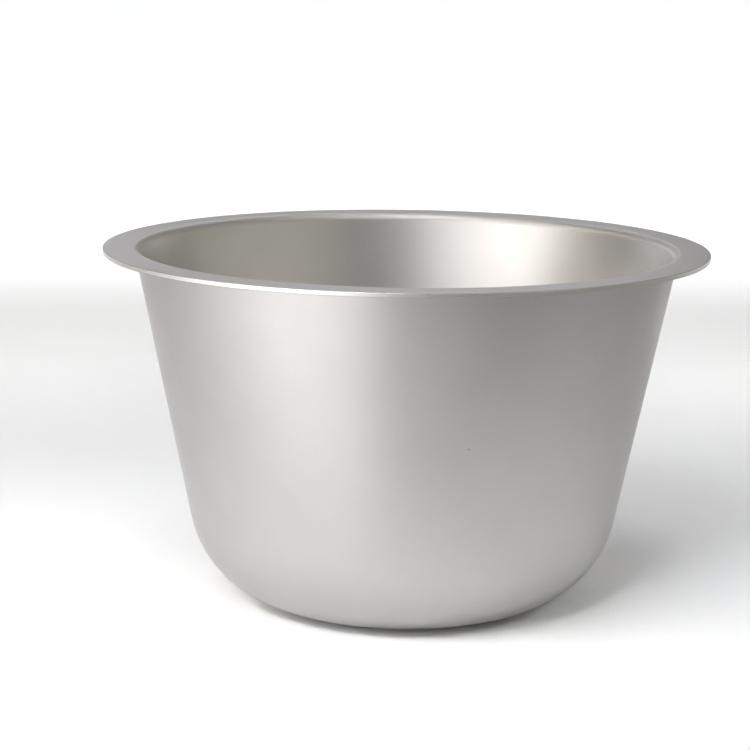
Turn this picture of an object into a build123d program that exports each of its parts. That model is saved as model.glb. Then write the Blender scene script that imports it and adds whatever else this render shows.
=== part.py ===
from build123d import *

import os
from math import radians, tan

# Bowl of a chocolate melter: one blank of aluminium sheet, deep-drawn to a tapered pot
# with a rounded bottom and a flat flange, which hangs it in the machine's round opening.
# Millimetres, +Z up. The origin is the centre of the underside of the flat bottom.

# Sheet
sheet_thickness = 1.5
trim_edge_break = 0.25  # the trimmed edge of the flange is only just taken off

# Body, measured on the outside of the wall
bowl_height = 119.0  # from the bottom's underside to the flange's top
body_top_diameter = 179.0  # where the wall's slope would meet the flange's underside
wall_draft_deg = 11.5  # how far the wall leans in from vertical on its way down
bottom_corner_radius = 35.0  # outside radius between wall and bottom

# Flange
flange_width = 10.5  # how far it reaches out from the top of the wall
flange_bend_radius = 1.2  # under the flange, where the sheet turns out of the wall


def skin_corners():
    """Sharp corners of the outer skin in the XZ plane, from the axis out to the flange's rim."""
    flange_underside = bowl_height - sheet_thickness
    top_radius = body_top_diameter / 2
    bottom_radius = top_radius - flange_underside * tan(radians(wall_draft_deg))
    return [
        (0, 0),
        (bottom_radius, 0),
        (top_radius, flange_underside),
        (top_radius + flange_width, flange_underside),
    ]


def bowl():
    """The drawn sheet: its outer skin thickened inwards and turned about the axis."""
    with BuildPart() as drawn:
        with BuildSketch(Plane.XZ) as section:
            with BuildLine():
                FilletPolyline(
                    *skin_corners(), radius=[bottom_corner_radius, flange_bend_radius]
                )
                offset(amount=sheet_thickness, side=Side.LEFT)
            make_face()
            trimmed_edge = section.vertices().group_by(Axis.X)[-1]
            fillet(trimmed_edge, trim_edge_break)
        revolve(axis=Axis.Z)
    return drawn.part


os.makedirs("parts", exist_ok=True)
export_step(bowl(), "parts/bowl.step")
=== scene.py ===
from math import cos, dist, pi, radians, sin, tan

import bmesh
import bpy
from mathutils import Matrix, Vector, noise


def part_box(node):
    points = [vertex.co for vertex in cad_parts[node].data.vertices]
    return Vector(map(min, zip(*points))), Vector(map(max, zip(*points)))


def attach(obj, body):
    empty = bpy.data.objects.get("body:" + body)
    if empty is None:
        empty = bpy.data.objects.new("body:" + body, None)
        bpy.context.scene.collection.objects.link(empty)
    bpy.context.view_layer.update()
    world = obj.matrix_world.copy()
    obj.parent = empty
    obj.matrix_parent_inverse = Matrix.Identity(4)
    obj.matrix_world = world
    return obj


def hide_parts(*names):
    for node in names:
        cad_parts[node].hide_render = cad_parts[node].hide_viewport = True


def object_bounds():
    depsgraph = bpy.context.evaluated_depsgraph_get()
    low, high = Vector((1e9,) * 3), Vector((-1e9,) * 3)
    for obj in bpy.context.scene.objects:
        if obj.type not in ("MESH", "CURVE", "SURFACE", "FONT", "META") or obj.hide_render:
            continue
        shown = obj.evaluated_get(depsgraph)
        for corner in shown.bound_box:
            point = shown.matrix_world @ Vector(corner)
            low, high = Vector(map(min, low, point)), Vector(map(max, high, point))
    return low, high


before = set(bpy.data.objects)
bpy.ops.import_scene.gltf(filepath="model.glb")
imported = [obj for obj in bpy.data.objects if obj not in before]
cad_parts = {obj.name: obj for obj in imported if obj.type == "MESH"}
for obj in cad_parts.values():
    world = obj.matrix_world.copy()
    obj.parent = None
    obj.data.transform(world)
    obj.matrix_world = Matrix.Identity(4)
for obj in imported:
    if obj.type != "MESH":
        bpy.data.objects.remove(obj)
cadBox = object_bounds()
scene = bpy.context.scene


def linear(hexColour):
    # an sRGB hex colour as linear RGBA
    parts = [int(hexColour[i:i + 2], 16) / 255 for i in (1, 3, 5)]
    return [p / 12.92 if p <= 0.04045 else ((p + 0.055) / 1.055) ** 2.4 for p in parts] + [1.0]


def addNode(tree, kind, settings=None, links=None):
    # a setting goes to the input of that name or number, as inputs can share a name,
    # or else to the node itself
    made = tree.nodes.new(kind)
    for key, value in (settings or {}).items():
        if isinstance(key, int) or key in made.inputs:
            made.inputs[key].default_value = value
        else:
            setattr(made, key, value)
    for key, source in (links or {}).items():
        tree.links.new(source, made.inputs[key])
    return made


def newMaterial(name):
    material = bpy.data.materials.new(name)
    material.use_nodes = True
    material.node_tree.nodes.clear()
    return material, material.node_tree


# the bowl, turned about Z from the section of its sheet; metres and degrees
bowl = {
    "sheet": 0.0015,
    "wallTopRadius": 0.0895,  # outside, where the slope would meet the flange's underside
    "draft": 11.5,
    "cornerRadius": 0.035,  # outside, between wall and bottom
    "bendRadius": 0.0012,  # under the flange
    "edgeRound": 0.00022,  # the trimmed edge is only just broken
    "hold": 0.0004,  # rings this close to each bend keep the straight runs shaded straight
    "mostHold": 0.3,  # but on a short run no further than this share of it
    "near": 0.00001,  # a ring this near to the bend's circle is part of the bend
    # steps round the bowl, and along each part of its section
    "stepsRound": 320,
    "bottomSteps": 5,
    "cornerSteps": 28,
    "wallSteps": 12,
    "underBendSteps": 8,
    "mouthBendSteps": 12,
    "flangeSteps": 4,
    "edgeSteps": 3,
    "edgeRoundSteps": 4,
    # slow waves only, and only downwards and inwards, so the rim stays in the CAD box
    "flangeDip": 0.00012,  # a drawn flange is never quite flat
    "dipCircle": (1.3, 4.0),  # radius and height of the circle walked through the noise
    "rimPull": 0.00010,  # and never cut to a perfect circle
    "pullCircle": (1.7, 9.0),
}


def arc(centre, radius, start, end, steps):
    # points on an arc in the (radius, height) plane, angles in degrees
    turn = (end - start) / steps
    return [
        (centre[0] + radius * cos(radians(start + turn * i)),
         centre[1] + radius * sin(radians(start + turn * i)))
        for i in range(steps + 1)
    ]


def run(start, end, steps):
    # points along a straight run, without its ends, with one held close to each of them
    held = min(bowl["hold"] / dist(start, end), bowl["mostHold"])
    shares = [held + (1 - 2 * held) * i / steps for i in range(steps + 1)]
    return [
        (start[0] + (end[0] - start[0]) * s, start[1] + (end[1] - start[1]) * s)
        for s in shares
    ]


def bowlSection():
    # the sheet's whole outline from the axis, under the bottom, up, over the flange and back in,
    # with the first and last point of its trimmed edge and the centre of the bend
    low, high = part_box("bowl")
    height = high.z
    rim = min(high.x, high.y, -low.x, -low.y)
    sheet, draft = bowl["sheet"], bowl["draft"]
    underside = height - sheet
    reach = tan(radians((90 - draft) / 2))  # from a corner to where its bend starts, for radius 1
    bottomRadius = bowl["wallTopRadius"] - underside * tan(radians(draft))
    corner = (bottomRadius - bowl["cornerRadius"] * reach, bowl["cornerRadius"])
    bend = (bowl["wallTopRadius"] + bowl["bendRadius"] * reach, underside - bowl["bendRadius"])
    edge = bowl["edgeRound"]

    outerCorner = arc(corner, bowl["cornerRadius"], -90, -draft, bowl["cornerSteps"])
    underBend = arc(bend, bowl["bendRadius"], 180 - draft, 90, bowl["underBendSteps"])
    lowerEdge = arc((rim - edge, underside + edge), edge, -90, 0, bowl["edgeRoundSteps"])
    upperEdge = arc((rim - edge, height - edge), edge, 0, 90, bowl["edgeRoundSteps"])
    mouthBend = arc(bend, bowl["bendRadius"] + sheet, 90, 180 - draft, bowl["mouthBendSteps"])
    innerCorner = arc(corner, bowl["cornerRadius"] - sheet, -draft, -90, bowl["cornerSteps"])

    # no ring is held close to the axis, where a hub closes the skin
    skin = run((0.0, 0.0), outerCorner[0], bowl["bottomSteps"])[1:] + outerCorner
    skin += run(outerCorner[-1], underBend[0], bowl["wallSteps"]) + underBend
    skin += run(underBend[-1], lowerEdge[0], bowl["flangeSteps"])
    edgeStart = len(skin)
    skin += lowerEdge + run(lowerEdge[-1], upperEdge[0], bowl["edgeSteps"]) + upperEdge
    edgeEnd = len(skin) - 1
    skin += run(upperEdge[-1], mouthBend[0], bowl["flangeSteps"]) + mouthBend
    skin += run(mouthBend[-1], innerCorner[0], bowl["wallSteps"]) + innerCorner
    skin += run(innerCorner[-1], (0.0, sheet), bowl["bottomSteps"])[:-1]
    return skin, edgeStart, edgeEnd, bend


def slowWave(turn, circle):
    # a smooth number of about 0 to 1 that meets itself after a whole turn; a larger circle has more waves
    radius, height = circle
    return 0.5 + 0.5 * noise.noise(Vector((radius * cos(turn), radius * sin(turn), height)))


def makeBowl():
    # the section turned about Z, with a map of the sheet and a mark on the bend of the flange
    skin, edgeStart, edgeEnd, bend = bowlSection()
    steps = bowl["stepsRound"]
    rim = max(radius for radius, z in skin)
    along = [0.0]  # how far along the section each ring lies
    for i in range(1, len(skin)):
        along.append(along[-1] + dist(skin[i - 1], skin[i]))
    middleOfEdge = (along[edgeStart] + along[edgeEnd]) / 2
    mesh = bmesh.new()
    sheetMap = mesh.loops.layers.uv.new("sheet")  # metres round the rim, and up the edge from its middle
    worked = mesh.verts.layers.float.new("worked")  # 1 in the bend of the flange

    rings = []
    for radius, z in skin:
        # 0 up to the top of the wall, and 1 at the rim
        flange = max(0.0, (radius - bowl["wallTopRadius"]) / (rim - bowl["wallTopRadius"]))
        away = dist((radius, z), bend) - bowl["bendRadius"]
        bent = min(abs(away), abs(away - bowl["sheet"])) < bowl["near"]
        ring = []
        for j in range(steps):
            turn = 2 * pi * j / steps
            dip = bowl["flangeDip"] * flange * slowWave(turn, bowl["dipCircle"])
            pulled = radius - bowl["rimPull"] * flange * slowWave(turn, bowl["pullCircle"])
            # turned so that the seam of the map is at the back
            point = mesh.verts.new((-pulled * sin(turn), pulled * cos(turn), z - dip))
            point[worked] = 1.0 if bent else 0.0
            ring.append(point)
        rings.append(ring)

    for i in range(len(rings) - 1):
        for j in range(steps):
            k = (j + 1) % steps
            face = mesh.faces.new((rings[i][j], rings[i][k], rings[i + 1][k], rings[i + 1][j]))
            face.material_index = 1 if edgeStart <= i < edgeEnd else 0  # 1 is the sheared edge
            places = ((i, j), (i, j + 1), (i + 1, j + 1), (i + 1, j))
            for loop, (row, column) in zip(face.loops, places):
                loop[sheetMap].uv = (rim * 2 * pi * column / steps, along[row] - middleOfEdge)
    for ring, z in ((rings[0], 0.0), (rings[-1], bowl["sheet"])):
        hub = mesh.verts.new((0.0, 0.0, z))
        for j in range(steps):
            mesh.faces.new((hub, ring[j], ring[(j + 1) % steps]))
    bmesh.ops.recalc_face_normals(mesh, faces=mesh.faces)
    for face in mesh.faces:
        face.smooth = True
    data = bpy.data.meshes.new("bowlSheet")
    mesh.to_mesh(data)
    mesh.free()
    piece = bpy.data.objects.new("bowlSheet", data)
    scene.collection.objects.link(piece)
    return piece


# the finish of both sides of the sheet; metres
blasting = {
    "grain": 0.0005,  # real bead marks are about 0.1 mm, too fine to show, so they are drawn coarser
    "grainDepth": 0.000006,
    "grainWeight": 0.35,  # in the unevenness, where the cloud weighs 1
    "cloud": 0.03,  # slow unevenness, about as wide as the jet of beads
    "unevenness": (0.45, 0.9),  # what is drawn fully dull and fully bright
    "dull": "#C9C7C5",
    "bright": "#CDCBC9",
    "roughness": (0.41, 0.45),
    "workedRoughness": 0.58,  # in the bend of the flange, where the sheet is stretched and duller
    "pit": "#4A4846",
    "pitRadius": 0.00032,
    # dark specks where dirt sat in the sheet: turn from the front in degrees, height, side, how dark
    "pits": [
        (-19.6, 0.0666, "outside", 0.12), (-1.5, 0.0730, "outside", 0.15), (14.4, 0.0679, "outside", 0.85),
        (117.6, 0.1125, "inside", 0.35), (117.3, 0.1045, "inside", 0.45),
        (-95, 0.082, "outside", 0.2), (150, 0.047, "outside", 0.6), (203, 0.090, "outside", 0.3),
        (-60, 0.050, "inside", 0.2), (10, 0.075, "inside", 0.5), (235, 0.060, "inside", 0.2),
    ],
}


def onWall(turn, height, side):
    # a point on the wall, by its turn to the right of the front
    underside = cadBox[1][2] - bowl["sheet"]  # of the flange
    radius = bowl["wallTopRadius"] - (underside - height) * tan(radians(bowl["draft"]))
    if side == "inside":
        radius -= bowl["sheet"] / cos(radians(bowl["draft"]))
    return (radius * sin(radians(turn)), -radius * cos(radians(turn)), height)


def beadBlastedAluminium():
    # deep-drawn aluminium sheet, bead-blasted: an even, silky grey without direction, that gives
    # wide soft highlights, softer still in the bend of the flange
    material, tree = newMaterial("beadBlastedAluminium")
    place = addNode(tree, "ShaderNodeTexCoord").outputs["Object"]
    grain = addNode(
        tree, "ShaderNodeTexNoise",
        {"Scale": 1 / blasting["grain"], "Detail": 2.0, "Roughness": 0.6}, {"Vector": place},
    ).outputs[0]
    cloud = addNode(
        tree, "ShaderNodeTexNoise",
        {"Scale": 1 / blasting["cloud"], "Detail": 3.0, "Roughness": 0.5}, {"Vector": place},
    ).outputs[0]
    unevenness = addNode(
        tree, "ShaderNodeMath",
        {"operation": "MULTIPLY_ADD", 1: blasting["grainWeight"]}, {0: grain, 2: cloud},
    ).outputs[0]
    dullest, brightest = blasting["unevenness"]
    share = addNode(
        tree, "ShaderNodeMapRange", {"From Min": dullest, "From Max": brightest}, {"Value": unevenness},
    ).outputs[0]
    tone = addNode(
        tree, "ShaderNodeMix",
        {"data_type": "RGBA", 6: linear(blasting["dull"]), 7: linear(blasting["bright"])}, {0: share},
    ).outputs[2]

    speck = None
    for turn, height, side, darkness in blasting["pits"]:
        away = addNode(
            tree, "ShaderNodeVectorMath",
            {"operation": "DISTANCE", 1: onWall(turn, height, side)}, {0: place},
        ).outputs["Value"]
        dark = addNode(
            tree, "ShaderNodeMapRange",
            {"From Min": blasting["pitRadius"], "From Max": blasting["pitRadius"] / 2, "To Max": darkness},
            {"Value": away},
        ).outputs[0]
        if speck:
            dark = addNode(tree, "ShaderNodeMath", {"operation": "MAXIMUM"}, {0: speck, 1: dark}).outputs[0]
        speck = dark
    colour = addNode(
        tree, "ShaderNodeMix", {"data_type": "RGBA", 7: linear(blasting["pit"])}, {0: speck, 6: tone},
    ).outputs[2]

    smooth, rough = blasting["roughness"]
    blasted = addNode(
        tree, "ShaderNodeMapRange", {"To Min": rough, "To Max": smooth}, {"Value": share},
    ).outputs[0]
    worked = addNode(tree, "ShaderNodeAttribute", {"attribute_name": "worked"}).outputs["Fac"]
    roughness = addNode(
        tree, "ShaderNodeMix", {3: blasting["workedRoughness"]}, {0: worked, 2: blasted},
    ).outputs[0]
    bump = addNode(
        tree, "ShaderNodeBump", {"Distance": blasting["grainDepth"]}, {"Height": grain},
    ).outputs[0]
    shader = addNode(
        tree, "ShaderNodeBsdfPrincipled", {"Metallic": 1.0},
        {"Base Color": colour, "Roughness": roughness, "Normal": bump},
    )
    addNode(tree, "ShaderNodeOutputMaterial", {}, {"Surface": shader.outputs[0]})
    return material


# the edge that the trimming die leaves round the flange; metres
trimming = {
    "markPitch": 0.0013,  # marks across the edge, further apart than real ones, so that they show
    "markLength": 0.006,  # longer than the edge is high, so that they run straight across it
    "markDepth": 0.00011,  # deeper than real marks, so that they still show in the picture
    "sheared": "#D9D8D5",
    # painted shade: the rounded corners of the edge are coloured darker than the sheared band
    "shadedCorners": "#A8A7A4",
    "roughness": (0.40, 0.62),
    "band": 0.00062,  # from the middle of the edge to where its corners are broken off
    "blend": 0.00012,  # how far the border of the band wanders and fades
}


def shearedAluminiumEdge():
    # bare aluminium, blanked by a die: a smooth sheared band, that glints in short dashes where its
    # marks catch the light, between two rounded corners that are rougher and painted darker as painted shade
    material, tree = newMaterial("shearedAluminiumEdge")
    sheet = addNode(tree, "ShaderNodeUVMap", {"uv_map": "sheet"}).outputs[0]
    across = addNode(
        tree, "ShaderNodeVectorMath",
        {"operation": "MULTIPLY", 1: (1 / trimming["markPitch"], 1 / trimming["markLength"], 0)}, {0: sheet},
    ).outputs[0]
    marks = addNode(
        tree, "ShaderNodeTexNoise",
        {"noise_dimensions": "2D", "Scale": 1.0, "Detail": 3.0, "Roughness": 0.6}, {"Vector": across},
    ).outputs[0]
    upEdge = addNode(tree, "ShaderNodeSeparateXYZ", {}, {0: sheet}).outputs["Y"]
    fromMiddle = addNode(tree, "ShaderNodeMath", {"operation": "ABSOLUTE"}, {0: upEdge}).outputs[0]
    wander = addNode(
        tree, "ShaderNodeMath",
        {"operation": "MULTIPLY_ADD", 1: trimming["blend"]}, {0: marks, 2: fromMiddle},
    ).outputs[0]
    sheared = addNode(
        tree, "ShaderNodeMapRange",
        {"interpolation_type": "SMOOTHSTEP", "From Min": trimming["band"] + trimming["blend"],
         "From Max": trimming["band"]},
        {"Value": wander},
    ).outputs[0]
    # the corners get the darker colour, a painted shade on the rounded corners; the band keeps the bright
    # one
    colour = addNode(
        tree, "ShaderNodeMix",
        {"data_type": "RGBA", 6: linear(trimming["shadedCorners"]), 7: linear(trimming["sheared"])},
        {0: sheared},
    ).outputs[2]
    smooth, rough = trimming["roughness"]
    roughness = addNode(
        tree, "ShaderNodeMapRange", {"To Min": rough, "To Max": smooth}, {"Value": sheared},
    ).outputs[0]
    bump = addNode(
        tree, "ShaderNodeBump", {"Distance": trimming["markDepth"]}, {"Height": marks},
    ).outputs[0]
    shader = addNode(
        tree, "ShaderNodeBsdfPrincipled", {"Metallic": 1.0},
        {"Base Color": colour, "Roughness": roughness, "Normal": bump},
    )
    addNode(tree, "ShaderNodeOutputMaterial", {}, {"Surface": shader.outputs[0]})
    return material


print("bowl")
bowlSheet = makeBowl()
for finish in (beadBlastedAluminium(), shearedAluminiumEdge()):
    bowlSheet.data.materials.append(finish)
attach(bowlSheet, "root")
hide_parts("bowl")

# the board that the bowl stands on; metres
board = {
    "front": -0.165,  # just in front of the picture, so the wall mirrors frontLow and the dim room
    "back": 18.0,
    "side": 18.0,
    "tooth": 0.0006,  # the stipple that the paint roller leaves
    "toothDepth": 0.00003,
    "cloud": 0.25,  # patches where the paint lies thicker
    "roughness": 0.7,
    "specular": 0.2,  # matt paint mirrors little
    "pale": "#F1F2F3",
    "shade": "#EDEEEF",
}


def mattPaintedBoard():
    # white matt paint rolled on board: hardly any gloss, a faint tooth and slow unevenness
    material, tree = newMaterial("mattPaintedBoard")
    place = addNode(tree, "ShaderNodeTexCoord").outputs["Object"]
    tooth = addNode(
        tree, "ShaderNodeTexNoise", {"Scale": 1 / board["tooth"], "Detail": 1.0}, {"Vector": place},
    ).outputs[0]
    cloud = addNode(
        tree, "ShaderNodeTexNoise", {"Scale": 1 / board["cloud"], "Detail": 2.0}, {"Vector": place},
    ).outputs[0]
    colour = addNode(
        tree, "ShaderNodeMix",
        {"data_type": "RGBA", 6: linear(board["shade"]), 7: linear(board["pale"])}, {0: cloud},
    ).outputs[2]
    bump = addNode(tree, "ShaderNodeBump", {"Distance": board["toothDepth"]}, {"Height": tooth}).outputs[0]
    shader = addNode(
        tree, "ShaderNodeBsdfPrincipled",
        {"Roughness": board["roughness"], "Specular IOR Level": board["specular"]},
        {"Base Color": colour, "Normal": bump},
    )
    addNode(tree, "ShaderNodeOutputMaterial", {}, {"Surface": shader.outputs[0]})
    return material


print("floor")
floorMesh = bmesh.new()
corners = [
    floorMesh.verts.new((x, y, 0.0))
    for x, y in (
        (-board["side"], board["front"]), (board["side"], board["front"]),
        (board["side"], board["back"]), (-board["side"], board["back"]),
    )
]
floorMesh.faces.new(corners)
floorData = bpy.data.meshes.new("floor")
floorMesh.to_mesh(floorData)
floorMesh.free()
floor = bpy.data.objects.new("floor", floorData)
scene.collection.objects.link(floor)
floorData.materials.append(mattPaintedBoard())

print("light")
middleOfBowl = Vector((0, 0, 0.08))
# a softbox is white, has no honeycomb to narrow its beam and faces the bowl, where it says nothing else
openBox = {"colour": "#FFFFFF", "beam": 180, "aim": middleOfBowl}
# softboxes, each at a turn to the left of the camera and a rise from the bowl; degrees, metres, watts;
# the last six are aimed at the board
softboxes = {
    "left": {"turn": 43, "rise": 3, "away": 0.5, "size": (0.56, 0.64), "power": 1.98, "colour": "#FFFCFC"},
    "leftStrip": {"turn": 78, "rise": -5, "away": 0.5, "size": (0.40, 0.07), "power": 0.08},
    "leftHigh": {
        "turn": 60, "rise": 20, "away": 1.0, "size": (0.5, 0.5), "power": 0.80, "colour": "#E8EDFF",
    },
    "leftWide": {
        "turn": 70, "rise": 29, "away": 1.6, "size": (1.6, 0.56), "power": 6.2, "colour": "#FFF5DC",
    },
    "frontLeft": {"turn": 24, "rise": 14, "away": 1.6, "size": (0.2, 0.3), "power": 0.27},
    "frontLow": {
        "turn": 0, "rise": -40, "away": 1.0, "size": (1.0, 0.5), "power": 0.74, "colour": "#F6F3FC",
    },
    "frontHigh": {
        "turn": 19, "rise": 44, "away": 1.6, "size": (0.45, 0.45), "power": 0.227, "colour": "#F8FBFF",
        "beam": 22, "aim": (-0.03, -0.03, 0.08),
    },
    "top": {
        "turn": 0, "rise": 78, "away": 0.6, "size": (0.36, 0.3), "power": 0.12, "colour": "#F8FAFF",
        "beam": 40,
    },
    "right": {"turn": -75, "rise": 20, "away": 1.6, "size": (3.0, 0.7), "power": 3.8, "colour": "#FFFCE8"},
    "rightHigh": {
        "turn": -60, "rise": 46, "away": 1.6, "size": (2.4, 0.5), "power": 0.45, "colour": "#FFFCF2",
    },
    "backLeft": {
        "turn": 150, "rise": 12, "away": 1.6, "size": (1.0, 0.4), "power": 2.4, "colour": "#FBFBFF",
    },
    "backRight": {
        "turn": 215, "rise": 8, "away": 2.0, "size": (1.0, 0.4), "power": 1.4, "colour": "#FFFAF0",
    },
    "backLow": {"turn": 176, "rise": 5, "away": 2.5, "size": (1.2, 0.3), "power": 0.85, "colour": "#FBFCFF"},
    "backHigh": {
        "turn": 182, "rise": 42, "away": 1.6, "size": (0.6, 0.8), "power": 2.4, "colour": "#FBFBFF",
    },
    "underLeft": {
        "turn": 50, "rise": 36, "away": 1.6, "size": (0.5, 0.1), "power": 0.097,
        "beam": 9, "aim": (-0.10, -0.04, 0),
    },
    "underFront": {
        "turn": 15, "rise": 36, "away": 1.6, "size": (0.5, 0.1), "power": 0.072,
        "beam": 9, "aim": (0, -0.08, 0),
    },
    "underRight": {
        "turn": -40, "rise": 36, "away": 1.6, "size": (0.5, 0.1), "power": 0.062,
        "beam": 9, "aim": (0.05, -0.06, 0),
    },
    "behindLeft": {
        "turn": 172, "rise": 55, "away": 1.3, "size": (0.1, 0.1), "power": 0.115,
        "beam": 24, "aim": (-0.19, 0.34, 0),
    },
    "behindRight": {
        "turn": 188, "rise": 55, "away": 1.3, "size": (0.1, 0.1), "power": 0.13,
        "beam": 24, "aim": (0.17, 0.34, 0),
    },
    "farFloor": {
        "turn": 180, "rise": 14, "away": 5.05, "size": (10.0, 8.56), "power": 300,
        "beam": 40, "aim": (0, 4.9, 0),
    },
}
for name, differences in softboxes.items():
    box = openBox | differences
    turn, rise = radians(box["turn"]), radians(box["rise"])
    outwards = Vector((-sin(turn) * cos(rise), -cos(turn) * cos(rise), sin(rise)))
    place = middleOfBowl + box["away"] * outwards
    data = bpy.data.lights.new(name, "AREA")
    data.shape = "RECTANGLE"
    data.size, data.size_y = box["size"]
    data.energy = box["power"]
    data.color = linear(box["colour"])[:3]
    data.spread = radians(box["beam"])
    light = bpy.data.objects.new(name, data)
    light.location = place
    towards = Vector(box["aim"]) - place
    light.rotation_euler = towards.to_track_quat("-Z", "Y").to_euler()
    light.visible_camera = False
    scene.collection.objects.link(light)

# the room is dim above the board, and its ground a little lighter below it
room = {
    "above": "#636261",
    "below": "#8A8988",
    "horizon": (-0.02, -0.1),  # upward part of the direction, where the room ends and the ground starts
}
world = bpy.data.worlds.new("studio")
world.use_nodes = True
tree = world.node_tree
direction = addNode(tree, "ShaderNodeTexCoord").outputs["Generated"]
upward = addNode(tree, "ShaderNodeSeparateXYZ", {}, {0: direction}).outputs["Z"]
roomEnds, groundStarts = room["horizon"]
ground = addNode(
    tree, "ShaderNodeMapRange", {"From Min": roomEnds, "From Max": groundStarts}, {"Value": upward},
).outputs[0]
roomLight = addNode(
    tree, "ShaderNodeMix",
    {"data_type": "RGBA", 6: linear(room["above"]), 7: linear(room["below"])}, {0: ground},
).outputs[2]
tree.links.new(roomLight, tree.nodes["Background"].inputs["Color"])
scene.world = world

print("camera")
# fitted to the bowl's outline in the photograph; metres, degrees, and millimetres for the lens
photoCamera = {
    "place": (0.0, -0.7180, 0.2176),
    "aim": (-0.00982, 0.0, 0.0751),
    "roll": 0.705,
    "lens": 104.78,
}
cameraData = bpy.data.cameras.new("photoCamera")
cameraData.lens = photoCamera["lens"]
camera = bpy.data.objects.new("photoCamera", cameraData)
look = Vector(photoCamera["aim"]) - Vector(photoCamera["place"])
camera.matrix_world = (
    Matrix.Translation(photoCamera["place"])
    @ look.to_track_quat("-Z", "Y").to_matrix().to_4x4()
    @ Matrix.Rotation(radians(photoCamera["roll"]), 4, "Z")
)
scene.collection.objects.link(camera)
scene.camera = camera
scene.view_settings.view_transform = "Standard"
